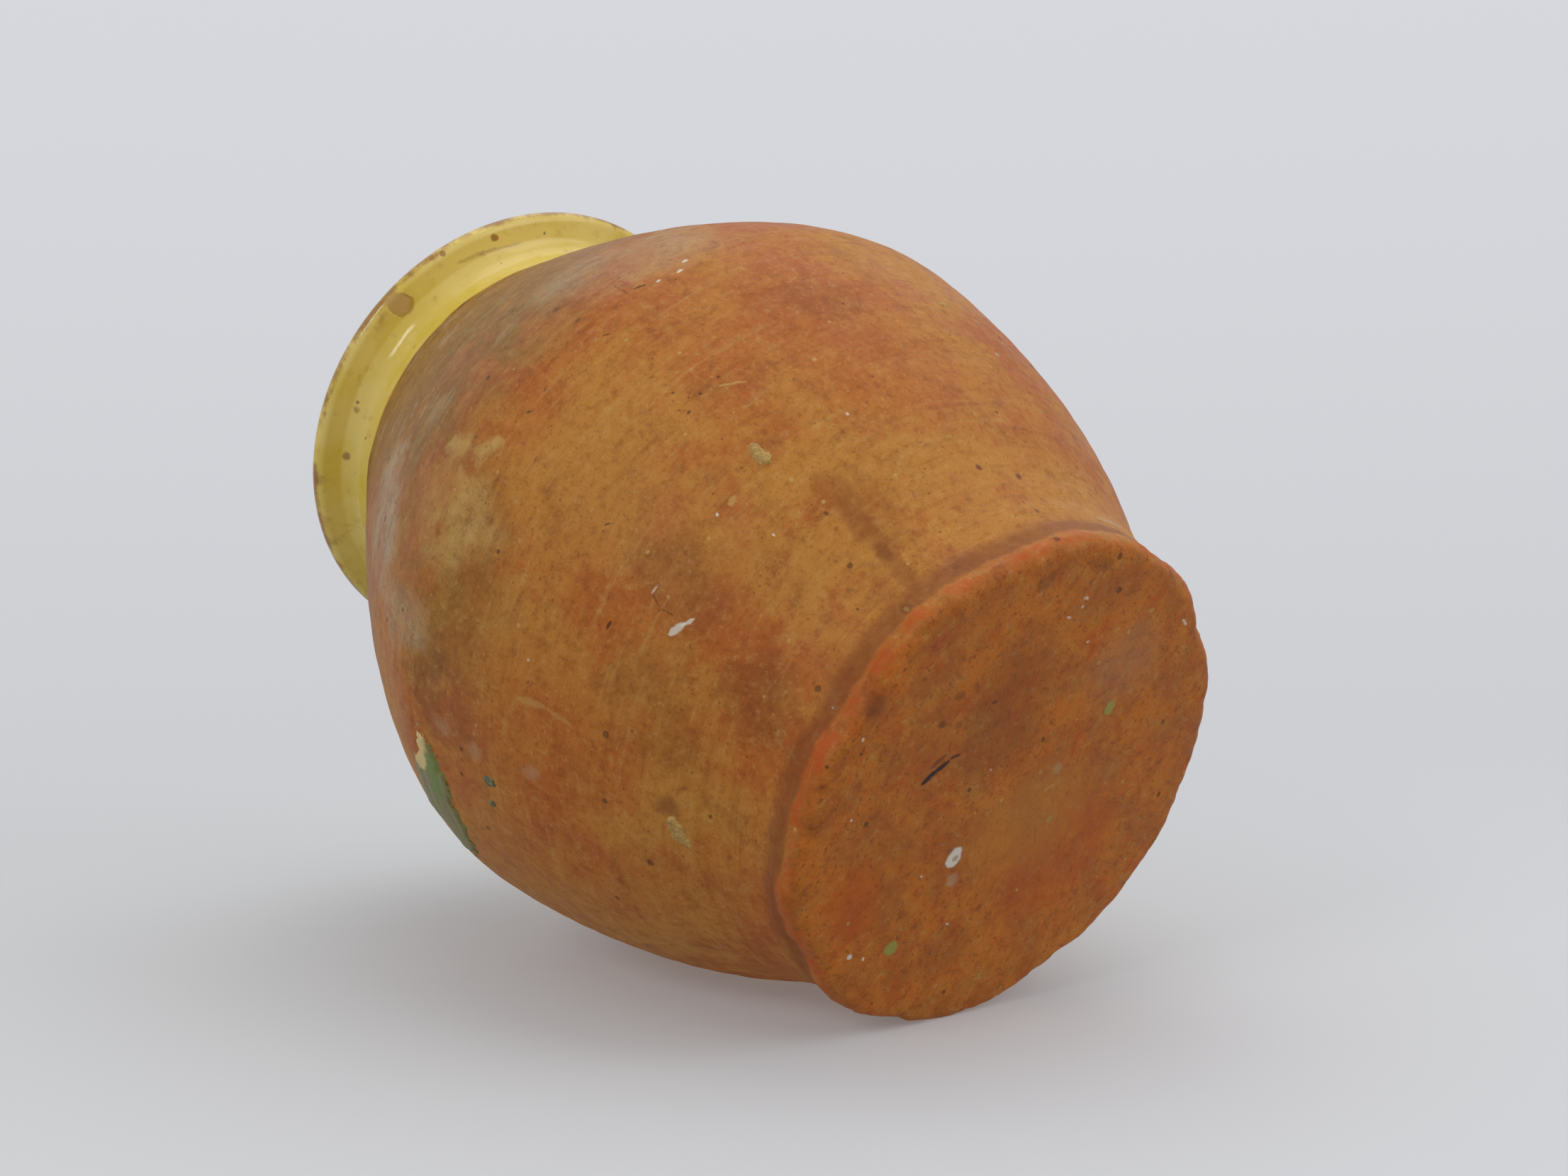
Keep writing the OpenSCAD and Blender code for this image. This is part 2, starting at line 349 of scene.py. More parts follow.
def turn(name, outline, closed=False):
    """Turns an outline round the pot's axis, as on a wheel."""
    bpy.ops.object.select_all(action="DESELECT")
    bpy.ops.mesh.primitive_plane_add(size=MM, location=(0, 0, 0))
    piece = name_new(name)
    bpy.ops.object.mode_set(mode="EDIT")
    bpy.ops.mesh.select_all(action="SELECT")
    bpy.ops.mesh.merge(type="CENTER")
    first = outline[0]
    bpy.ops.transform.translate(value=(first.x, 0, first.y))
    points = outline + [first] if closed else outline
    for here, there in zip(points, points[1:]):
        step = there - here
        bpy.ops.mesh.extrude_region_move(TRANSFORM_OT_translate={"value": (step.x, 0, step.y)})
    bpy.ops.mesh.select_all(action="SELECT")
    bpy.ops.mesh.spin(steps=TURN_STEPS, angle=math.tau, center=(0, 0, 0), axis=(0, 0, 1))
    bpy.ops.mesh.select_all(action="SELECT")
    bpy.ops.mesh.remove_doubles(threshold=0.01 * MM)
    bpy.ops.mesh.normals_make_consistent(inside=False)
    stop_editing()
    return piece


def round_to(degrees_round, height, radius):
    """The point at a direction round the pot, a height and a distance from the axis."""
    angle = math.radians(degrees_round)
    return Vector((radius * math.cos(angle), radius * math.sin(angle), height))


def press(piece, place, push, reach):
    """Pushes the surface round a place, with a smooth falloff."""
    start_editing(piece)
    bpy.ops.mesh.select_mode(type="VERT")
    stop_editing()
    nearest = min(piece.data.vertices, key=lambda v: (v.co - place).length_squared)
    nearest.select = True
    bpy.ops.object.mode_set(mode="EDIT")
    bpy.ops.transform.translate(
        value=push, use_proportional_edit=True, proportional_edit_falloff="SMOOTH",
        proportional_size=reach, use_proportional_connected=False)
    stop_editing()


def apply_modifiers(piece):
    bpy.ops.object.select_all(action="DESELECT")
    piece.select_set(True)
    bpy.context.view_layer.objects.active = piece
    for modifier in list(piece.modifiers):
        bpy.ops.object.modifier_apply(modifier=modifier.name)


def roughen(piece, name, size, strength, weight=None, middle=0.5, depth=2):
    """Displaces the surface by a cloud pattern, where weight(point) says so."""
    texture = bpy.data.textures.new(name, "CLOUDS")
    texture.noise_scale = size
    texture.noise_depth = depth
    modifier = piece.modifiers.new(name, "DISPLACE")
    modifier.texture = texture
    modifier.texture_coords = "LOCAL"
    modifier.strength = strength
    modifier.mid_level = middle
    if weight:
        group = piece.vertex_groups.new(name=name)
        for vertex in piece.data.vertices:
            amount = weight(vertex.co)
            if amount > 0:
                group.add([vertex.index], min(amount, 1.0), "REPLACE")
        modifier.vertex_group = group.name


def smooth(piece, angle=50):
    bpy.ops.object.select_all(action="DESELECT")
    piece.select_set(True)
    bpy.context.view_layer.objects.active = piece
    bpy.ops.object.shade_smooth_by_angle(angle=math.radians(angle))


def place_in_mesh(piece):
    """Leaves the object at the origin, with its place in its mesh."""
    bpy.ops.object.select_all(action="DESELECT")
    piece.select_set(True)
    bpy.context.view_layer.objects.active = piece
    bpy.ops.object.transform_apply(location=True, rotation=True, scale=True)


def fade(value, low, high):
    """0 below low, 1 above high and smooth between them, or the other way round."""
    t = max(0.0, min(1.0, (value - low) / (high - low)))
    return t * t * (3 - 2 * t)


def model_clay(s):
    """The fired clay: one body from the base face over the lip and down to the floor."""
    line = Outline(s)
    flat = s.foot_diameter / 2 - s.foot_round
    fine_from = flat - 0.012
    base = [Vector((fine_from * i / 14, 0)) for i in range(14)]
    base += [Vector((fine_from + (flat - fine_from) * i / 8, 0)) for i in range(8)]
    edge = []
    for i in range(9):
        angle = math.pi / 2 * i / 8
        edge.append(Vector((flat + s.foot_round * math.sin(angle),
                            s.foot_round * (1 - math.cos(angle)))))
    wall = join_lines(line.flare, line.lower, line.upper)
    rippled = []
    for point in wall:
        ripple = 0.10 * MM * math.sin(math.tau * point.y / (9.5 * MM))
        ripple += 0.07 * MM * math.sin(math.tau * point.y / (4.3 * MM) + 1.0)
        rippled.append(ripple * fade(point.y, s.foot_round, 2.5 * s.foot_round))
    outer = offset(wall, rippled)
    coarse = Outline(s, fine=0.4)
    hollow = coarse.inside(s)
    collar_in = [p for p in offset(coarse.collar, -s.lip)][1:-1]
    outline = join_lines(base + edge, outer, line.creased_collar(s))
    outline += line.lip(0, 1, 10)[1:] + collar_in[::-1] + hollow[::-1]
    body = turn("clay_body", outline)
    for degrees_round, height, depth, reach in FOOT_PRESSES:
        place = round_to(degrees_round, height * MM, s.foot_diameter / 2)
        press(body, place, -depth * MM * Vector((place.x, place.y, 0)).normalized(), reach * MM)

    def near_foot_edge(point):
        away = math.hypot(point.x, point.y) - (flat - 0.004)
        return fade(away, 0, 0.004) * (1 - fade(point.z, 0.009, 0.02))

    def on_wall(point):
        return 0.5 * fade(point.z, 0.006, 0.03) * (1 - fade(point.z, 0.25, 0.275))

    roughen(body, "foot_chips", 6 * MM, 1.6 * MM, near_foot_edge, middle=0.62, depth=3)
    roughen(body, "wall_unevenness", 45 * MM, 1.2 * MM, on_wall, middle=0.62, depth=1)
    apply_modifiers(body)
    for vertex in body.data.vertices:
        vertex.co.z = max(vertex.co.z, 0.0)
    smooth(body)
    return body


def model_lining(s):
    """The glaze in the hollow, from the middle of the floor to the top of the lip."""
    line = Outline(s)
    under = line.inside(s, extra=0.02 * MM) + offset(line.collar, -s.lip)[1:] + line.lip(1, 11 / 12, 2)[1:]
    face = line.inside(s, extra=s.glaze) + offset(line.collar, -s.lip - s.glaze)[1:]
    face += line.lip(1, 11 / 12, 2, stand=s.glaze)[1:]
    coarse = [p for i, p in enumerate(under) if i % 4 == 0] + [under[-1]]
    piece = turn("lining_glaze", coarse + face[::-1])
    smooth(piece)
    return piece


def model_collar_glaze(s):
    """The glaze over the collar, the crease and the rim, thinning out at its lower edge."""
    line = Outline(s)
    low = [p for p in line.upper if p.y > s.collar_foot]
    low = [Vector((radius_at(line.upper, s.collar_foot), s.collar_foot))] + low
    under = join_lines(low, line.creased_collar(s)) + line.lip(0, 11 / 12, 11)[1:]
    thick = [s.glaze * fade(i + 1.5, 0, 6) for i in range(len(under))]
    face = offset(under, thick)
    skin = offset(under, -0.05 * MM)
    piece = turn("rim_glaze", skin[::-1] + face, closed=True)

    def lower_edge(point):
        return 1 - fade(point.z, s.collar_foot + 1 * MM, s.collar_foot + 7 * MM)

    group = piece.vertex_groups.new(name="lower_edge")
    for vertex in piece.data.vertices:
        amount = lower_edge(vertex.co)
        if amount > 0:
            group.add([vertex.index], amount, "REPLACE")
    texture = bpy.data.textures.new("lower_edge", "CLOUDS")
    texture.noise_scale = 22 * MM
    modifier = piece.modifiers.new("lower_edge", "DISPLACE")
    modifier.texture = texture
    modifier.texture_coords = "LOCAL"
    modifier.direction = "Z"
    modifier.strength = 3 * MM
    modifier.mid_level = 0.5
    modifier.vertex_group = group.name
    apply_modifiers(piece)
    smooth(piece, 70)
    return piece


def wall_patch(name, clay, s, place, size, turned, thick, cell, ragged, seed):
    """A thin flake with a ragged outline, laid on the wall and thinner at its edge."""
    degrees_round, height = place
    out = radius_at(Outline(s).wall, height) + 12 * MM
    bpy.ops.object.select_all(action="DESELECT")
    bpy.ops.mesh.primitive_grid_add(
        x_subdivisions=max(8, int(size[0] / cell)), y_subdivisions=max(8, int(size[1] / cell)), size=1,
        location=round_to(degrees_round, height, out),
        rotation=(math.pi / 2, -turned, math.radians(degrees_round + 90)))
    piece = name_new(name)
    piece.scale = (*size, 1)
    bpy.ops.object.transform_apply(location=False, rotation=False, scale=True)

    def inside(co):
        """How far a point is inside the ragged outline, in metres."""
        across = Vector((co.x / (size[0] / 2), co.y / (size[1] / 2)))
        wave = noise.fractal(Vector((co.x, co.y, seed)) / (size[1] * 0.45), 0.8, 2.0, 4)
        return (0.86 - across.length + ragged * wave) * min(size) / 2

    start_editing(piece)
    bpy.ops.mesh.select_mode(type="FACE")
    stop_editing()
    for face in piece.data.polygons:
        face.select = inside(face.center) < 0
    bpy.ops.object.mode_set(mode="EDIT")
    bpy.ops.mesh.delete(type="FACE")
    stop_editing()
    group = piece.vertex_groups.new(name="thick")
    for vertex in piece.data.vertices:
        group.add([vertex.index], fade(inside(vertex.co), -0.2 * thick, 1.6 * thick), "REPLACE")
    lay = piece.modifiers.new("lay", "SHRINKWRAP")
    lay.target = clay
    lay.wrap_method = "PROJECT"
    lay.use_project_z = True
    lay.use_negative_direction = True
    lay.use_positive_direction = False
    lay.offset = -0.1 * MM
    raise_up = piece.modifiers.new("raise", "SOLIDIFY")
    raise_up.thickness = thick
    raise_up.offset = 1
    raise_up.vertex_group = group.name
    raise_up.thickness_vertex_group = 0.12
    apply_modifiers(piece)
    place_in_mesh(piece)
    return piece


# Drops of glaze: degrees round the pot, height, width and height of the drop, in millimetres
DROPS = [(-139.9, 112.6, 5.2, 6.0), (-144.3, 113.4, 3.6, 3.4)]

# Crusts, as above, with the degrees by which they lean
CRUSTS = [(-70.0, 72.5, 5.2, 10.5, 0), (-135.3, 45.3, 12.0, 5.6, 28), (-19.4, 108.6, 4.4, 4.2, 0)]


def join_pieces(name, pieces):
    bpy.ops.object.select_all(action="DESELECT")
    for piece in pieces:
        piece.select_set(True)
    bpy.context.view_layer.objects.active = pieces[0]
    bpy.ops.object.join()
    return name_new(name)


# Materials

class Tree:
    """Adds nodes to a node tree and links them as it goes."""

    def __init__(self, owner):
        owner.use_nodes = True
        self.tree = owner.node_tree
        self.tree.nodes.clear()

    def add(self, kind, inputs=None, **values):
        node = self.tree.nodes.new("ShaderNode" + kind)
        for name, value in values.items():
            setattr(node, name, value)
        for key, value in (inputs or {}).items():
            if isinstance(value, bpy.types.NodeSocket):
                self.tree.links.new(value, node.inputs[key])
            else:
                node.inputs[key].default_value = value
        return node

    def place(self):
        return self.add("TexCoord").outputs["Object"]

    def math(self, operation, a, b=0.0, clamp=False):
        return self.add("Math", {0: a, 1: b}, operation=operation, use_clamp=clamp).outputs[0]

    def vector(self, operation, a, b=(0, 0, 0)):
        node = self.add("VectorMath", {0: a, 1: b}, operation=operation)
        plain = operation in ("DISTANCE", "DOT_PRODUCT", "LENGTH")
        return node.outputs["Value" if plain else "Vector"]

    def stretch(self, point, x, y, z):
        return self.vector("MULTIPLY", point, (x, y, z))

    def noise(self, point, size, detail=4.0, roughness=0.55, out="Fac"):
        inputs = {"Vector": point, "Scale": 1 / size, "Detail": detail, "Roughness": roughness}
        return self.add("TexNoise", inputs).outputs[out]

    def fade(self, value, low, high, strength=1.0):
        """0 below low and strength above high, smooth between them."""
        inputs = {"Value": value, "From Min": low, "From Max": high, "To Max": strength}
        return self.add("MapRange", inputs, interpolation_type="SMOOTHSTEP").outputs["Result"]

    def mix(self, factor, a, b, blend="MIX"):
        def full(value):
            return (*value, 1.0) if not isinstance(value, bpy.types.NodeSocket) and len(value) == 3 else value
        node = self.add("Mix", data_type="RGBA", blend_type=blend)
        for key, value in ((0, factor), (6, full(a)), (7, full(b))):
            if isinstance(value, bpy.types.NodeSocket):
                self.tree.links.new(value, node.inputs[key])
            else:
                node.inputs[key].default_value = value
        return node.outputs[2]

    def wobble(self, point, size, amount):
        """The point, moved about by a cloud pattern."""
        cloud = self.vector("SUBTRACT", self.noise(point, size, 3.0, out="Color"), (0.5, 0.5, 0.5))
        return self.vector("ADD", point, self.vector("MULTIPLY", cloud, (amount,) * 3))

    def specks(self, point, spacing, size, share_shown):
        """Small round specks, of which only a share is shown, each of its own size."""
        cells = self.add("TexVoronoi", {"Vector": point, "Scale": 1 / spacing})
        pick = self.add("SeparateColor", {0: cells.outputs["Color"]})
        shown = self.math("LESS_THAN", pick.outputs[0], share_shown)
        reach = self.math("MULTIPLY", pick.outputs[1], size / spacing)
        near = self.math("DIVIDE", cells.outputs["Distance"], self.math("ADD", reach, 0.02))
        return self.math("MULTIPLY", self.fade(near, 1.15, 0.75), shown)

    def stroke(self, point, start, end, radius, soft, strength=1.0):
        """1 in a thin ellipse from start to end, as wide as the radius says, with a soft edge."""
        half = (end - start).length / 2
        low = 2 * math.hypot(half, radius * (1 - soft))
        high = 2 * math.hypot(half, radius * (1 + soft))
        from_start = self.vector("DISTANCE", point, start)
        if half == 0:
            return self.fade(from_start, high / 2, low / 2, strength)
        both = self.math("ADD", from_start, self.vector("DISTANCE", point, end))
        return self.fade(both, high, low, strength)

    def finish(self, shader):
        self.tree.links.new(shader, self.add("OutputMaterial").inputs["Surface"])


def on_wall(line, place):
    return round_to(place[0], place[1] * MM, radius_at(line, place[1] * MM))


# Large soft areas of the wall: start, end (degrees round, height), radius in mm, colour, strength
AREAS = [
    ("upper ochre", (-62, 135), (-72, 105), 26, "ochre", 0.55),
    ("mid ochre", (-81, 118), (-90, 135), 26, "ochre", 0.35),
    ("top rust", (-52, 112), (-42, 92), 22, "rust", 0.7),
    ("right rust", (-48, 75), (-36, 76), 20, "rust", 0.55),
    ("top umber", (-38, 100), (-47, 120), 12, "umber", 0.35),
    ("flare ochre", (-56, 62), (-52, 36), 20, "ochre", 0.55),
    ("shoulder olive", (-70, 190), (-94, 200), 32, "olive", 0.85),
    # Grey on the shoulder: chalky bloom, and painted sheen where the shoulder turns away.
    ("top bloom and sheen", (-50, 165), (-66, 196), 20, "grey", 0.45),
    ("low olive", (-100, 178), (-113, 150), 26, "olive", 0.65),
    ("left olive", (-113, 132), (-122, 135), 24, "olive", 0.6),
    ("cream rub", (-102, 152), (-108, 140), 13, "cream", 0.8),
    ("cream streak", (-99, 170), (-92, 147), 4.5, "cream", 0.8),
    # Grey-white at the left of the shoulder: chalky scuffs, and painted sheen.
    ("left bloom and sheen", (-110, 215), (-119, 182), 15, "grey", 0.95),
    ("low left bloom and sheen", (-120, 172), (-124, 145), 9, "grey", 0.6),
    ("left red", (-127, 128), (-133, 138), 14, "purple", 0.55),
    ("low rust", (-122, 84), (-137, 100), 24, "rust", 0.5),
    ("middle umber", (-98, 54), (-92, 76), 13, "umber", 0.4),
    ("foot umber", (-100, 33), (-108, 24), 11, "umber", 0.6),
    ("low umber", (-112, 66), (-120, 50), 14, "umber", 0.35),
    ("dirt band", (-62, 66), (-67, 24), 4.5, "umber", 0.5),
    ("low ochre", (-146, 60), (-150, 36), 22, "ochre", 0.45),
]


# Marks on the wall: start, end (degrees round, height in mm), radius in mm, softness, colour, strength
WALL_MARKS = [
    ((-97.1, 57.1), (-99.4, 59.6), 0.5, 0.4, "paint", 0.7),
    ((-98.6, 58.9), (-101.6, 61.3), 1.1, 0.4, "paint", 0.7),
    ((-95.6, 71.2), (-97.4, 71.4), 0.25, 0.5, "paint", 0.6),
    ((-97.4, 71.4), (-98.7, 67.2), 0.2, 0.5, "soot", 0.6),
    ((-98.7, 67.2), (-98.5, 61.1), 0.2, 0.5, "soot", 0.6),
    ((-104.4, 78.5), (-105.9, 78.9), 0.5, 0.4, "soot", 0.8),
    ((-92.2, 94.4), (-92.9, 95.2), 0.3, 0.5, "soot", 0.7),
    ((-77.6, 69.2), (-79.2, 68.5), 0.9, 0.5, "cream", 0.6),
    ((-81.6, 69.2), (-81.6, 69.2), 0.45, 0.4, "paint", 0.8),
    ((-78.3, 53.8), (-78.3, 53.8), 0.45, 0.4, "paint", 0.7),
    ((-54.2, 68.7), (-54.2, 68.7), 0.5, 0.4, "paint", 0.7),
    ((-97.0, 10.2), (-97.0, 10.2), 0.5, 0.4, "paint", 0.9),
    ((-116.3, 100.1), (-116.3, 100.1), 0.5, 0.4, "paint", 0.7),
    ((-90.8, 32.6), (-91.6, 32.4), 0.4, 0.5, "cream", 0.7),
    ((-71.5, 107.5), (-71.9, 107.9), 0.45, 0.4, "soot", 0.7),
    ((-68.8, 100.8), (-69.3, 101.2), 0.4, 0.4, "soot", 0.7),
    ((-65.2, 102.0), (-65.2, 102.0), 0.5, 0.4, "soot", 0.6),
    ((-70.7, 102.8), (-70.7, 102.8), 0.4, 0.4, "soot", 0.6),
    ((-72.1, 98.8), (-72.6, 98.6), 0.45, 0.4, "soot", 0.7),
    ((-66.4, 99.7), (-62.7, 95.0), 0.35, 0.6, "cream", 0.6),
    ((-122.8, 101.3), (-121.9, 91.0), 1.0, 0.9, "cream", 0.4),
    ((-121.9, 91.0), (-122.8, 80.8), 0.7, 0.9, "cream", 0.3),
    ((-130.2, 49.4), (-131.2, 48.0), 3.2, 0.8, "purple", 0.5),
    ((-136.4, 119.8), (-135.2, 117.0), 2.6, 0.9, "grey", 0.28),
    ((-134.6, 97.0), (-134.0, 92.0), 2.4, 0.9, "grey", 0.25),
    ((-134.9, 134.3), (-134.2, 131.0), 2.6, 0.9, "grey", 0.25),
    ((-53.5, 152.1), (-54.3, 151.8), 0.6, 0.4, "paint", 0.8),
    ((-55.4, 148.6), (-56.4, 148.2), 0.6, 0.4, "paint", 0.8),
    ((-59.0, 149.2), (-59.8, 149.0), 0.45, 0.4, "paint", 0.7),
    ((-62.9, 151.7), (-61.0, 150.6), 0.4, 0.4, "soot", 0.8),
    ((-71.3, 156.4), (-71.9, 156.0), 0.8, 0.5, "soot", 0.5),
    ((-71.3, 171.1), (-72.0, 171.8), 0.9, 0.5, "soot", 0.45),
    ((-86.0, 142.4), (-86.6, 143.2), 0.4, 0.4, "soot", 0.7),
    ((-82.0, 143.7), (-82.6, 143.4), 0.5, 0.5, "soot", 0.5),
    ((-63.8, 163.5), (-64.1, 146.6), 0.2, 0.5, "soot", 0.5),
    ((-70.4, 141.5), (-71.6, 142.6), 0.35, 0.4, "soot", 0.7),
    ((-73.0, 10.0), (-73.0, 10.0), 2.2, 0.4, "soot", 0.45),
    ((-73.0, 10.0), (-73.0, 10.0), 1.1, 0.3, "cream", 0.9),
    ((-78.7, 22.3), (-78.7, 22.3), 0.7, 0.4, "soot", 0.7),
    ((-32.6, 20.1), (-33.0, 20.4), 0.9, 0.5, "purple", 0.7),
    ((-8.5, 43.6), (-8.5, 43.6), 0.9, 0.5, "purple", 0.7),
    ((-37.9, 39.3), (-38.6, 39.9), 0.9, 0.5, "purple", 0.8),
    ((-29.7, 34.6), (-30.3, 35.1), 1.1, 0.5, "purple", 0.8),
    ((-39.2, 20.5), (-39.2, 20.5), 0.6, 0.5, "cream", 0.6),
    ((-16.2, 18.6), (-3.9, 21.3), 0.8, 0.8, "grey", 0.5),
    ((-14.6, 86.2), (-15.4, 85.4), 0.9, 0.5, "grey", 0.7),
    ((-65.9, 58.0), (-65.7, 42.0), 4.2, 0.95, "umber", 0.26),
    ((-65.7, 48.0), (-66.6, 27.0), 3.4, 0.95, "umber", 0.36),
    ((-66.6, 31.0), (-68.0, 12.0), 3.0, 0.95, "umber", 0.42),
]

# Marks on the base face, as above, with their places as (x, y) in mm
BASE_MARKS = [
    ((-25.5, -6.0), (-30.6, -7.2), 2.5, 0.25, "paint", 0.95),
    ((-27.6, -6.0), (-28.6, -6.0), 1.1, 0.3, "grey", 0.9),
    ((-33.0, -1.3), (-35.5, 0.5), 1.9, 0.6, "grey", 0.5),
    ((-14.6, -41.6), (-8.1, -39.6), 0.8, 0.5, "soot", 1.0),
    ((-10.1, -40.1), (-3.8, -37.4), 0.9, 0.5, "soot", 0.95),
    ((-3.4, -37.6), (0.1, -34.5), 0.5, 0.4, "soot", 0.9),
    ((-9.0, -42.6), (-2.5, -40.2), 0.8, 0.5, "umber", 0.8),
    ((38.7, 15.5), (38.7, 15.5), 2.4, 0.25, "lichen", 0.95),
    ((-1.5, 23.4), (-1.5, 23.4), 1.4, 0.3, "lichen", 0.8),
    ((-62.3, -5.6), (-62.3, -5.6), 2.7, 0.25, "lichen", 0.95),
    ((13.6, -52.4), (14.6, -49.6), 1.5, 0.6, "soot", 0.4),
    ((6.1, -44.2), (7.4, -43.0), 1.2, 0.6, "soot", 0.4),
    ((3.2, -50.5), (4.6, -50.0), 1.3, 0.5, "soot", 0.5),
    ((18.0, -36.4), (19.4, -34.9), 0.7, 0.4, "soot", 0.7),
    ((17.6, -4.1), (18.6, -4.9), 0.7, 0.5, "soot", 0.7),
    ((45.4, 44.5), (46.0, 44.0), 0.9, 0.5, "soot", 0.6),
    ((12.3, 10.1), (14.0, 11.5), 1.9, 0.6, "grey", 0.5),
    ((5.0, 12.2), (9.0, 14.6), 0.6, 0.6, "cream", 0.6),
    ((-5.4, 18.7), (-10.8, 25.5), 0.25, 0.5, "soot", 0.6),
    ((-12.7, -76.6), (-12.7, -76.6), 0.6, 0.4, "paint", 0.7),
    ((-71.2, -21.7), (-70.4, -20.5), 0.8, 0.4, "paint", 0.8),
    ((-69.4, -14.9), (-69.4, -14.9), 0.6, 0.4, "paint", 0.8),
    ((-34.5, -59.3), (-34.5, -59.3), 0.5, 0.4, "paint", 0.8),
    ((1.0, -17.6), (1.0, -17.6), 0.5, 0.4, "paint", 0.7),
    ((-38.1, -14.9), (-38.1, -14.9), 0.5, 0.4, "paint", 0.7),
    ((-46.9, 10.8), (-46.9, 10.8), 0.5, 0.4, "paint", 0.7),
    ((-1.3, -82.0), (-5.0, -80.5), 3.6, 0.7, "purple", 0.6),
    ((57.0, 12.0), (50.0, 2.0), 12.0, 0.8, "grey", 0.14),
    ((70.1, 2.1), (71.6, 3.4), 0.7, 0.5, "cream", 0.6),
    ((75.4, 19.7), (74.6, 23.2), 0.5, 0.4, "paint", 0.6),
    ((60.6, 0.0), (61.6, -1.0), 0.6, 0.5, "cream", 0.6),
    ((59.8, -5.5), (58.6, -6.6), 0.6, 0.5, "cream", 0.6),
    ((47.0, -4.2), (48.0, -3.4), 0.6, 0.5, "cream", 0.6),
    ((60.2, -29.4), (60.8, -27.4), 0.5, 0.5, "paint", 0.6),
    ((52.3, -30.7), (53.0, -29.0), 0.4, 0.5, "paint", 0.6),
    ((57.7, -27.6), (57.7, -27.6), 0.45, 0.5, "paint", 0.6),
    ((50.1, -15.3), (51.0, -14.4), 0.4, 0.5, "paint", 0.6),
    ((73.3, -28.6), (69.0, -36.0), 2.2, 0.8, "soot", 0.3),
    ((52.5, -49.9), (59.7, -48.3), 2.0, 0.8, "soot", 0.3),
    ((-50.0, -40.0), (-62.0, -28.0), 9.0, 0.6, "edge_red", 0.5),
    ((30.0, -35.0), (5.0, -20.0), 15.0, 0.7, "umber", 0.35),
    ((10.0, 45.0), (-30.0, 35.0), 14.0, 0.7, "edge_red", 0.4),
    ((-20.0, 5.0), (10.0, 25.0), 16.0, 0.7, "ochre", 0.4),
]

# The wall is marked as if it were unrolled from a cylinder of this radius
UNROLLED = 0.12


def marked(t, point, tone, marks, place_of, palette):
    """The tone with a list of marks laid over it."""
    near = t.wobble(point, 0.0016, 0.0014)
    broad = t.wobble(point, 0.009, 0.005)
    for start, end, radius, soft, key, strength in marks:
        frayed = broad if radius > 1.8 else near
        mask = t.stroke(frayed, place_of(start), place_of(end), radius * MM, soft, strength)
        tone = t.mix(mask, tone, palette[key])
    return tone


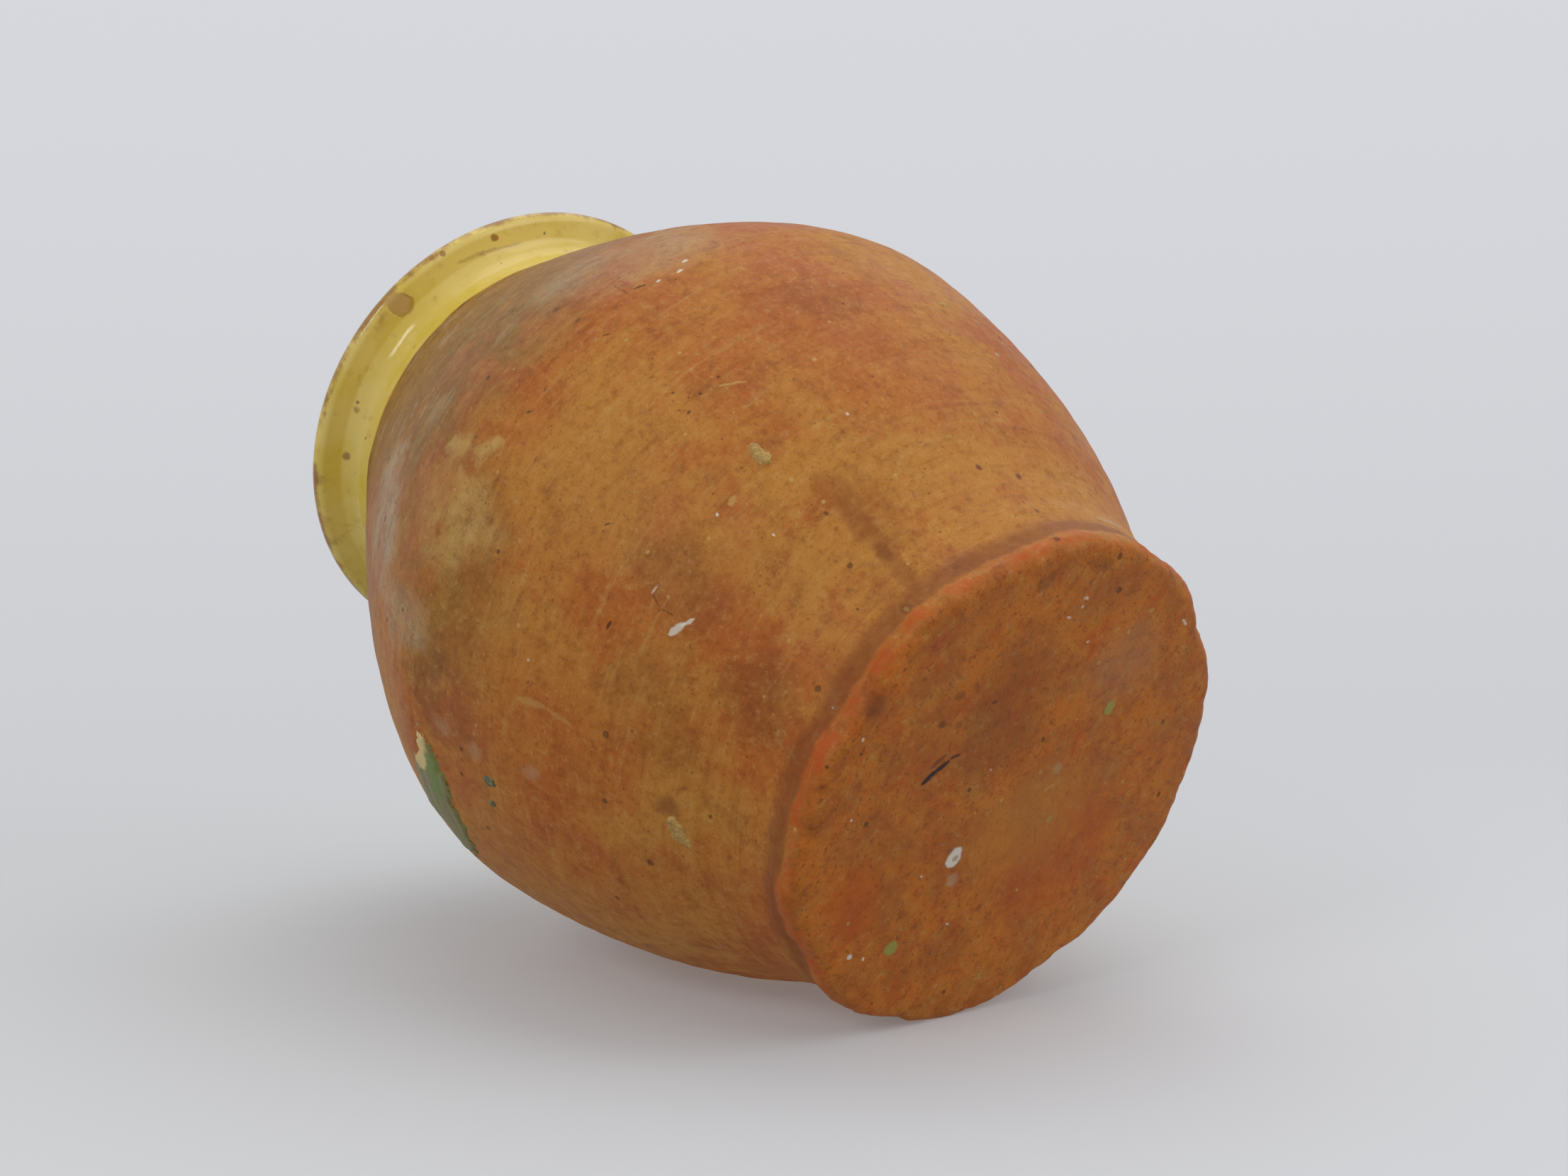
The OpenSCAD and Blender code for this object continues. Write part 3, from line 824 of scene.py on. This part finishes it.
def raw_clay(c, line):
    """Raw clay: mottled ochre and rust, with smoke, chalky bloom and painted sheen on the shoulder, painted
    shade above the foot, pits and throwing lines.
    """
    material = bpy.data.materials.new("raw_clay")
    t = Tree(material)
    point = t.place()
    palette = {name: getattr(c, name) for name in c.__annotations__}
    axes = t.add("SeparateXYZ", {0: point}).outputs
    height = axes["Z"]
    loose = t.wobble(point, 0.035, 0.02)
    broad = t.noise(loose, 0.07, 3.0)
    patchy = t.noise(loose, 0.02, 8.0, 0.68)
    blotch = t.noise(t.vector("ADD", loose, (0.4, 0.2, 0.7)), 0.011, 7.0, 0.7)
    fine = t.noise(point, 0.0045, 7.0, 0.72)
    grit = t.noise(t.vector("ADD", point, (0.1, 0.5, 0.3)), 0.0024, 5.0, 0.78)
    grain = t.noise(point, 0.0011, 3.0, 0.65)
    lines = t.noise(t.stretch(point, 1, 1, 16), 0.045, 5.0, 0.65)

    tone = t.mix(t.fade(broad, 0.38, 0.62), c.rust, c.ochre)
    tone = t.mix(t.fade(patchy, 0.5, 0.64, 0.75), tone, c.ochre)
    tone = t.mix(t.fade(patchy, 0.5, 0.34, 0.75), tone, c.rust)
    smoked = t.math("MULTIPLY", t.fade(height, 0.165, 0.225), t.fade(broad, 0.25, 0.55, 0.75))
    tone = t.mix(smoked, tone, c.olive)
    areas = t.wobble(point, 0.03, 0.035)
    areas = t.wobble(areas, 0.008, 0.006)
    for name, start, end, radius, key, strength in AREAS:
        mask = t.stroke(areas, on_wall(line, start), on_wall(line, end), radius * MM, 0.6)
        mottled = t.math("MULTIPLY", mask, t.fade(patchy, 0.25, 0.6, strength))
        tone = t.mix(mottled, tone, palette[key])
    tone = t.mix(t.fade(blotch, 0.5, 0.7, 0.34), tone, c.umber)
    tone = t.mix(t.fade(blotch, 0.5, 0.34, 0.4), tone, c.ochre)
    tone = t.mix(t.fade(fine, 0.5, 0.7, 0.42), tone, c.umber)
    tone = t.mix(t.fade(fine, 0.48, 0.32, 0.26), tone, c.cream)
    tone = t.mix(t.fade(lines, 0.52, 0.72, 0.28), tone, c.umber)
    tone = t.mix(t.fade(lines, 0.45, 0.3, 0.22), tone, c.cream)
    tone = t.mix(t.fade(grain, 0.56, 0.72, 0.4), tone, c.umber)
    tone = t.mix(t.fade(grit, 0.54, 0.66, 0.4), tone, c.umber)
    tone = t.mix(t.fade(grit, 0.45, 0.34, 0.35), tone, c.cream)
    # Grey streaks above about 160 mm: chalky bloom, and painted sheen where the shoulder turns away.
    chalk_and_sheen = t.math("MULTIPLY", t.fade(height, 0.16, 0.21), t.fade(patchy, 0.5, 0.64, 0.55))
    tone = t.mix(t.math("MULTIPLY", chalk_and_sheen, t.fade(lines, 0.42, 0.56)), tone, c.grey)

    unrolled = t.math("MULTIPLY", t.math("ARCTAN2", axes["Y"], axes["X"]), UNROLLED)
    unrolled = t.add("CombineXYZ", {"X": unrolled, "Y": height}).outputs[0]
    tone = marked(t, unrolled, tone, WALL_MARKS,
                  lambda p: Vector((math.radians(p[0]) * UNROLLED, p[1] * MM, 0)), palette)

    under = t.fade(height, 0.0035, 0.0006)
    base_tone = t.mix(t.fade(patchy, 0.4, 0.62), t.mix(0.4, c.base, c.umber), c.base)
    base_tone = t.mix(t.fade(blotch, 0.5, 0.68, 0.55), base_tone, c.edge_red)
    base_tone = t.mix(t.fade(blotch, 0.46, 0.36, 0.5), base_tone, c.ochre)
    base_tone = t.mix(t.fade(fine, 0.52, 0.68, 0.5), base_tone, c.umber)
    base_tone = t.mix(t.fade(fine, 0.46, 0.33, 0.4), base_tone, c.cream)
    base_tone = t.mix(t.fade(grit, 0.53, 0.64, 0.6), base_tone, c.umber)
    base_tone = t.mix(t.fade(grit, 0.46, 0.34, 0.5), base_tone, c.edge_red)
    base_tone = t.mix(t.fade(grain, 0.55, 0.7, 0.4), base_tone, c.umber)
    on_base = t.stretch(point, 1, 1, 0)
    base_tone = marked(t, on_base, base_tone, BASE_MARKS, lambda p: Vector((*p, 0)) * MM, palette)
    tone = t.mix(under, tone, base_tone)
    uneven = t.math("ADD", height, t.math("MULTIPLY", t.math("SUBTRACT", patchy, 0.5), 0.008))
    # Painted shade: umber laid at up to 0.6 in a band about 7 to 18 mm up, in the hollow just above the
    # foot's edge.
    groove_shade = t.math("MULTIPLY", t.fade(uneven, 0.018, 0.012), t.fade(uneven, 0.0065, 0.009, 0.6))
    tone = t.mix(groove_shade, tone, c.umber)
    worn = t.math("MULTIPLY", t.fade(uneven, 0.0085, 0.006), t.fade(uneven, 0.0008, 0.0028))
    worn = t.math("MULTIPLY", worn, t.fade(blotch, 0.6, 0.44, 0.8))
    tone = t.mix(t.math("MULTIPLY", worn, t.fade(fine, 0.68, 0.44)), tone, c.edge_red)

    pits = t.specks(t.wobble(point, 0.0012, 0.0009), 0.0085, 0.0011, 0.25)
    more_pits = t.specks(point, 0.0029, 0.0005, 0.35)
    tone = t.mix(t.math("MULTIPLY", pits, 0.6), tone, c.soot)
    tone = t.mix(t.math("MULTIPLY", more_pits, 0.55), tone, c.umber)
    pale = t.specks(t.vector("ADD", point, (0.3, 0.1, 0.2)), 0.007, 0.0007, 0.3)
    tone = t.mix(t.math("MULTIPLY", pale, 0.65), tone, c.cream)

    relief = t.math("ADD", t.math("MULTIPLY", fine, 0.5), t.math("MULTIPLY", grain, 0.2))
    relief = t.math("ADD", relief, t.math("MULTIPLY", lines, 0.35))
    relief = t.math("SUBTRACT", relief, t.math("MULTIPLY", pits, 0.5))
    relief = t.math("MULTIPLY", relief, t.math("ADD", 1.0, t.math("MULTIPLY", under, 1.5)))
    bump = t.add("Bump", {"Strength": 0.7, "Distance": 0.0006, "Height": relief}).outputs[0]
    rough = t.math("ADD", t.fade(patchy, 0.3, 0.7, 0.16), 0.46)
    shader = t.add("BsdfPrincipled", {"Base Color": tone, "Roughness": rough, "Normal": bump})
    shader.inputs["Specular IOR Level"].default_value = 0.24
    t.finish(shader.outputs[0])
    return material


# Marks on the collar's glaze: start, end (degrees round, height in mm), radius in mm,
# softness, colour, strength
COLLAR_MARKS = [
    ((-79.5, 294.6), (-82.6, 295.4), 4.4, 0.12, "glaze_brown", 0.6),
    ((-79.9, 295.0), (-82.9, 295.7), 3.7, 0.15, "chip", 0.95),
    ((-50.6, 295.2), (-51.6, 295.5), 1.5, 0.3, "glaze_brown", 0.85),
    ((-90.1, 298.5), (-90.1, 298.5), 1.0, 0.3, "glaze_brown", 0.9),
    ((-110.5, 292.3), (-111.0, 292.6), 1.2, 0.5, "glaze_brown", 0.6),
    ((-123.8, 292.3), (-124.6, 292.8), 1.5, 0.4, "glaze_brown", 0.8),
    ((-36.6, 294.5), (-36.6, 294.5), 0.7, 0.3, "soot", 0.7),
    ((-36.3, 298.7), (-38.0, 298.5), 1.6, 0.6, "glaze_brown", 0.5),
    ((-66.6, 300.4), (-67.4, 300.4), 0.9, 0.4, "soot", 0.6),
    # A pale line with a purplish edge along the crease: bare clay showing along the fold, and a painted
    # highlight along the crease.
    ((-64.0, 294.7), (-51.2, 294.1), 0.8, 0.6, "purple", 0.3),
    ((-58.0, 294.5), (-43.5, 293.6), 0.6, 0.6, "grey", 0.5),
    ((-60.0, 298.0), (-66.0, 298.4), 1.4, 0.6, "glaze_brown", 0.45),
    ((-75.0, 298.6), (-79.0, 298.8), 1.2, 0.6, "glaze_brown", 0.5),
]


def on_collar(line, place, glaze):
    return round_to(place[0], place[1] * MM, radius_at(line, place[1] * MM) + glaze)


def honey_glaze(c, s, name, marks):
    """Glossy honey glaze, pinholed, brown where it is thin or worn."""
    material = bpy.data.materials.new(name)
    t = Tree(material)
    point = t.place()
    palette = {key: getattr(c, key) for key in c.__annotations__}
    line = Outline(s).collar
    broad = t.noise(point, 0.03, 5.0, 0.6)
    tone = t.mix(t.fade(broad, 0.4, 0.6), c.glaze_light, c.glaze_deep)
    fine = t.noise(point, 0.007, 6.0, 0.65)
    tone = t.mix(t.fade(fine, 0.56, 0.72, 0.3), tone, c.glaze_brown)
    tone = t.mix(t.fade(fine, 0.45, 0.3, 0.3), tone, c.glaze_light)
    axes = t.add("SeparateXYZ", {0: point}).outputs
    out = t.vector("LENGTH", t.stretch(point, 1, 1, 0))
    rim = s.rim_diameter / 2
    worn = t.fade(t.math("ADD", out, t.math("MULTIPLY", fine, 0.0018)), rim - 0.0001, rim + 0.0008)
    dirt = t.noise(t.vector("ADD", point, (0.2, 0.6, 0.1)), 0.016, 6.0, 0.7)
    tone = t.mix(t.math("MULTIPLY", worn, t.fade(dirt, 0.36, 0.56, 0.85)), tone, c.glaze_brown)
    near_rim = t.math("MULTIPLY", t.fade(out, rim - 0.009, rim), t.fade(dirt, 0.52, 0.66, 0.45))
    tone = t.mix(near_rim, tone, c.glaze_brown)
    holes = t.specks(point, 0.009, 0.0011, 0.4)
    tone = t.mix(t.math("MULTIPLY", holes, 0.75), tone, c.glaze_brown)
    bare = t.stroke(t.wobble(point, 0.0016, 0.0014), on_collar(line, (-79.9, 295.0), s.glaze),
                    on_collar(line, (-82.9, 295.7), s.glaze), 4.0 * MM, 0.15)
    if marks:
        tone = marked(t, point, tone, marks, lambda p: on_collar(line, p, s.glaze), palette)
    low = t.fade(axes["Z"], s.collar_foot + 0.003, s.collar_foot - 0.001, 0.6)
    if marks:
        tone = t.mix(low, tone, c.glaze_brown)
    relief = t.math("SUBTRACT", t.noise(point, 0.009, 3.0), t.math("MULTIPLY", holes, 0.8))
    relief = t.math("SUBTRACT", relief, t.math("MULTIPLY", bare, 1.5 if marks else 0.0))
    bump = t.add("Bump", {"Strength": 0.35, "Distance": 0.0006, "Height": relief}).outputs[0]
    rough = t.math("ADD", 0.14, t.math("MULTIPLY", bare, 0.5 if marks else 0.0))
    shader = t.add("BsdfPrincipled", {"Base Color": tone, "Roughness": rough, "Normal": bump})
    t.finish(shader.outputs[0])
    return material


def scar_glaze(c, line):
    """Torn green glaze with cream flakes."""
    material = bpy.data.materials.new("scar_glaze")
    t = Tree(material)
    point = t.place()
    ragged = t.wobble(point, 0.006, 0.006)
    cream = t.stroke(ragged, on_wall(line, (-138, 148)), on_wall(line, (-144.5, 148)), 5 * MM, 0.3)
    green = t.stroke(ragged, on_wall(line, (-141.5, 141)), on_wall(line, (-150, 143)), 3 * MM, 0.4)
    fine = t.noise(point, 0.003, 6.0, 0.65)
    tone = t.mix(t.fade(fine, 0.42, 0.6), c.scar_grey, t.mix(0.35, c.scar_grey, c.scar_green))
    tone = t.mix(cream, tone, c.scar_cream)
    tone = t.mix(green, tone, c.scar_green)
    tone = t.mix(t.fade(t.noise(point, 0.0016, 4.0), 0.58, 0.7, 0.5), tone, c.umber)
    bump = t.add("Bump", {"Strength": 0.8, "Distance": 0.0006, "Height": fine}).outputs[0]
    shader = t.add("BsdfPrincipled", {"Base Color": tone, "Normal": bump})
    shader.inputs["Roughness"].default_value = 0.38
    t.finish(shader.outputs[0])
    return material


def green_drop(c):
    """Dark green glaze, run into drops."""
    material = bpy.data.materials.new("green_drop")
    t = Tree(material)
    point = t.place()
    cloud = t.noise(point, 0.0022, 5.0, 0.65)
    tone = t.mix(t.fade(cloud, 0.45, 0.62), c.drop_green, t.mix(0.5, c.drop_green, c.lichen))
    tone = t.mix(t.fade(cloud, 0.45, 0.35, 0.6), tone, c.soot)
    bump = t.add("Bump", {"Strength": 0.5, "Distance": 0.0004, "Height": cloud}).outputs[0]
    shader = t.add("BsdfPrincipled", {"Base Color": tone, "Normal": bump})
    shader.inputs["Roughness"].default_value = 0.3
    t.finish(shader.outputs[0])
    return material


def baked_crust(c):
    """Dry, granular crust."""
    material = bpy.data.materials.new("crust")
    t = Tree(material)
    point = t.place()
    fine = t.noise(point, 0.0018, 6.0, 0.7)
    tone = t.mix(t.fade(fine, 0.4, 0.6), t.mix(0.45, c.crust, c.umber), c.crust)
    bump = t.add("Bump", {"Strength": 1.0, "Distance": 0.0006, "Height": fine}).outputs[0]
    shader = t.add("BsdfPrincipled", {"Base Color": tone, "Normal": bump})
    shader.inputs["Roughness"].default_value = 0.8
    t.finish(shader.outputs[0])
    return material


# Share of the paper that the camera sees evenly lit, so that its shadows stay pale
EVENLY_LIT = 0.2


def studio_paper(c, name, fade_from, fade_to):
    """Pale paper seen only from its front, fading out away from its middle."""
    material = bpy.data.materials.new(name)
    t = Tree(material)
    away = t.vector("LENGTH", t.place())
    behind = t.add("NewGeometry").outputs["Backfacing"]
    clear = t.math("MAXIMUM", t.fade(away, fade_from, fade_to), behind)
    matt = t.add("BsdfDiffuse", {"Color": (*c.paper, 1.0)}).outputs[0]
    even = t.add("Emission", {"Color": (*c.paper, 1.0), "Strength": 0.86}).outputs[0]
    camera = t.add("LightPath").outputs["Is Camera Ray"]
    lit = t.add("MixShader", {0: t.math("MULTIPLY", camera, EVENLY_LIT), 1: matt, 2: even}).outputs[0]
    hole = t.add("BsdfTransparent").outputs[0]
    t.finish(t.add("MixShader", {0: clear, 1: lit, 2: hole}).outputs[0])
    return material


def put_on(piece, material):
    piece.data.materials.clear()
    piece.data.materials.append(material)


# Operators, one for each piece or group of like pieces and one for the stage

def camera_axes(studio):
    """Right, up and forward of the camera."""
    rise, roll = studio.camera_rise, studio.camera_roll
    forward = Vector((0, math.cos(rise), math.sin(rise)))
    level_up = Vector((0, -math.sin(rise), math.cos(rise)))
    right = math.cos(roll) * Vector((1, 0, 0)) - math.sin(roll) * level_up
    up = math.sin(roll) * Vector((1, 0, 0)) + math.cos(roll) * level_up
    return right, up, forward


def add_lamp(name, direction, distance, size, power, tint):
    """A soft square lamp in a direction from the pot's middle, turned towards it."""
    middle = Vector((0, 0, CAD_BOX[1].z / 2))
    place = middle + direction.normalized() * distance
    bpy.ops.object.light_add(type="AREA", location=place)
    lamp = bpy.context.active_object
    lamp.name = name
    lamp.rotation_euler = direction.to_track_quat("Z", "Y").to_euler()
    lamp.data.shape = "SQUARE"
    lamp.data.size = size
    lamp.data.energy = power
    lamp.data.color = tint


class SCENE_OT_pot_studio(bpy.types.Operator):
    """Adds the camera, the lamps and the pale paper round the pot"""
    bl_idname = "scene.pot_studio"
    bl_label = "Studio"

    def execute(self, context):
        s, c, studio = settings()
        right, up, forward = camera_axes(studio)
        bpy.ops.object.camera_add(location=studio.camera_place)
        camera = context.active_object
        camera.name = "camera"
        camera.rotation_euler = Matrix((right, up, -forward)).transposed().to_euler()
        camera.data.sensor_width = 36
        camera.data.lens = studio.camera_lens
        camera.data.clip_start = 0.01
        context.scene.camera = camera

        table = math.cos(studio.camera_pitch) * up - math.sin(studio.camera_pitch) * forward
        add_lamp("window", 0.42 * table - 0.5 * right - 0.75 * forward, 1.6, 0.45,
                 studio.window_power, (1.0, 0.98, 0.95))
        add_lamp("overhead", 0.9 * table + 0.15 * right + 0.2 * forward, 1.5, 1.6,
                 studio.sky_power, (1.0, 0.99, 0.97))
        add_lamp("side", 0.45 * table + 0.8 * right - 0.35 * forward, 1.5, 0.9,
                 studio.side_power, (0.97, 0.98, 1.0))

        across = math.hypot(table.x, table.y)
        wall = Outline(s).wall
        lowest = min(wall, key=lambda p: p.y * table.z - p.x * across)
        depth = lowest.y * table.z - lowest.x * across
        side = Vector((-table.x, -table.y, 0)).normalized() * 0.1
        middle = side + Vector((0, 0, 0.12))
        middle += table * (depth - middle.dot(table))
        bpy.ops.mesh.primitive_plane_add(
            size=2.0, location=middle, rotation=table.to_track_quat("Z", "Y").to_euler())
        sheet = name_new("table_paper")
        put_on(sheet, studio_paper(c, "table_paper", 0.25, 0.8))
        bpy.ops.mesh.primitive_plane_add(size=4.0, location=(0, 0, -0.5 * MM))
        floor = name_new("floor_paper")
        put_on(floor, studio_paper(c, "floor_paper", 0.4, 1.6))
        for paper in (sheet, floor):
            paper.visible_shadow = False
            paper.visible_diffuse = False
            paper.visible_glossy = paper == sheet
            paper.visible_transmission = False

        world = bpy.data.worlds.new("studio")
        context.scene.world = world
        t = Tree(world)
        ray = t.add("TexCoord").outputs["Generated"]
        height = t.vector("DOT_PRODUCT", ray, up)
        backdrop = t.mix(t.fade(height, -0.25, 0.3), srgb(203, 203, 207), srgb(214, 216, 221))
        seen = t.add("Background", {"Color": backdrop}).outputs[0]
        strength = t.math("ADD", 0.62 * studio.room_strength,
                          t.fade(height, -0.7, 0.6, 0.38 * studio.room_strength))
        room = t.add("Background", {"Color": (1.0, 0.985, 0.96, 1.0), "Strength": strength}).outputs[0]
        path = t.add("LightPath")
        direct = t.math("MAXIMUM", path.outputs["Is Camera Ray"], path.outputs["Is Glossy Ray"])
        direct = t.math("MAXIMUM", direct, path.outputs["Is Transmission Ray"])
        mixed = t.add("MixShader", {0: direct, 1: room, 2: seen}).outputs[0]
        t.tree.links.new(mixed, t.add("OutputWorld").inputs["Surface"])
        context.scene.view_settings.view_transform = "Standard"
        return {"FINISHED"}


class OBJECT_OT_pot_clay(bpy.types.Operator):
    """Models the fired clay body, from the base face over the lip to the floor"""
    bl_idname = "object.pot_clay"
    bl_label = "Clay body"

    def execute(self, context):
        s, c, _ = settings()
        body = model_clay(s)
        put_on(body, raw_clay(c, Outline(s).wall))
        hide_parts("foot_slab", "lower_wall", "shoulder", "collar", "rim_fold")
        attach(body, "root")
        return {"FINISHED"}


class OBJECT_OT_pot_lining(bpy.types.Operator):
    """Models the glaze that seals the hollow"""
    bl_idname = "object.pot_lining"
    bl_label = "Glazed lining"

    def execute(self, context):
        s, c, _ = settings()
        piece = model_lining(s)
        put_on(piece, honey_glaze(c, s, "lining_glaze", []))
        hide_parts("inside_glaze")
        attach(piece, "root")
        return {"FINISHED"}


class OBJECT_OT_pot_collar(bpy.types.Operator):
    """Models the glaze over the collar and the rim"""
    bl_idname = "object.pot_collar"
    bl_label = "Glazed collar"

    def execute(self, context):
        s, c, _ = settings()
        piece = model_collar_glaze(s)
        put_on(piece, honey_glaze(c, s, "rim_glaze", COLLAR_MARKS))
        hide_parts("collar_glaze")
        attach(piece, "root")
        return {"FINISHED"}


class OBJECT_OT_pot_marks(bpy.types.Operator):
    """Models the kiln scar, the glaze drops and the baked crusts on the wall"""
    bl_idname = "object.pot_marks"
    bl_label = "Marks on the wall"

    def execute(self, context):
        s, c, _ = settings()
        clay = bpy.data.objects["clay_body"]
        scar = wall_patch("torn_scar", clay, s, (-151.6, 145 * MM), (66 * MM, 22 * MM), 0.0,
                          0.9 * MM, 0.7 * MM, 0.35, 3.0)
        smooth(scar, 40)
        put_on(scar, scar_glaze(c, Outline(s).wall))
        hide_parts("kiln_scar")
        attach(scar, "root")

        drops = join_pieces("green_drops", [
            wall_patch("drop", clay, s, (degrees_round, height * MM), (across * MM, high * MM), 0.0,
                       0.6 * MM, 0.25 * MM, 0.25, seed)
            for seed, (degrees_round, height, across, high) in enumerate(DROPS)])
        smooth(drops, 60)
        put_on(drops, green_drop(c))
        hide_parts("glaze_drops")
        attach(drops, "root")

        crusts = join_pieces("baked_crusts", [
            wall_patch("bit", clay, s, (degrees_round, height * MM), (across * MM, high * MM),
                       math.radians(turned), 0.9 * MM, 0.3 * MM, 0.5, seed + 7.0)
            for seed, (degrees_round, height, across, high, turned) in enumerate(CRUSTS)])
        roughen(crusts, "granules", 1.3 * MM, 0.6 * MM, middle=0.6, depth=3)
        apply_modifiers(crusts)
        smooth(crusts, 40)
        put_on(crusts, baked_crust(c))
        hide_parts("wall_crusts")
        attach(crusts, "root")
        return {"FINISHED"}


class VIEW3D_PT_grease_pot(bpy.types.Panel):
    """Lists the pot's pieces and settings"""
    bl_idname = "VIEW3D_PT_grease_pot"
    bl_label = "Grease pot"
    bl_space_type = "VIEW_3D"
    bl_region_type = "UI"
    bl_category = "Grease pot"

    def draw(self, context):
        for operator in OPERATORS:
            self.layout.operator(operator.bl_idname)
        for group in settings():
            box = self.layout.box()
            for name in group.__annotations__:
                box.prop(group, name)


OPERATORS = (SCENE_OT_pot_studio, OBJECT_OT_pot_clay, OBJECT_OT_pot_lining,
             OBJECT_OT_pot_collar, OBJECT_OT_pot_marks)
CLASSES = (PotSizes, PotColours, StudioSettings, *OPERATORS, VIEW3D_PT_grease_pot)


def register():
    for cls in CLASSES:
        bpy.utils.register_class(cls)
    bpy.types.Scene.pot_sizes = bpy.props.PointerProperty(type=PotSizes)
    bpy.types.Scene.pot_colours = bpy.props.PointerProperty(type=PotColours)
    bpy.types.Scene.pot_studio = bpy.props.PointerProperty(type=StudioSettings)


def unregister():
    del bpy.types.Scene.pot_sizes
    del bpy.types.Scene.pot_colours
    del bpy.types.Scene.pot_studio
    for cls in reversed(CLASSES):
        bpy.utils.unregister_class(cls)


def main():
    register()
    bpy.ops.scene.pot_studio()
    bpy.ops.object.pot_clay()
    bpy.ops.object.pot_lining()
    bpy.ops.object.pot_collar()
    bpy.ops.object.pot_marks()


if __name__ == "__main__":
    main()
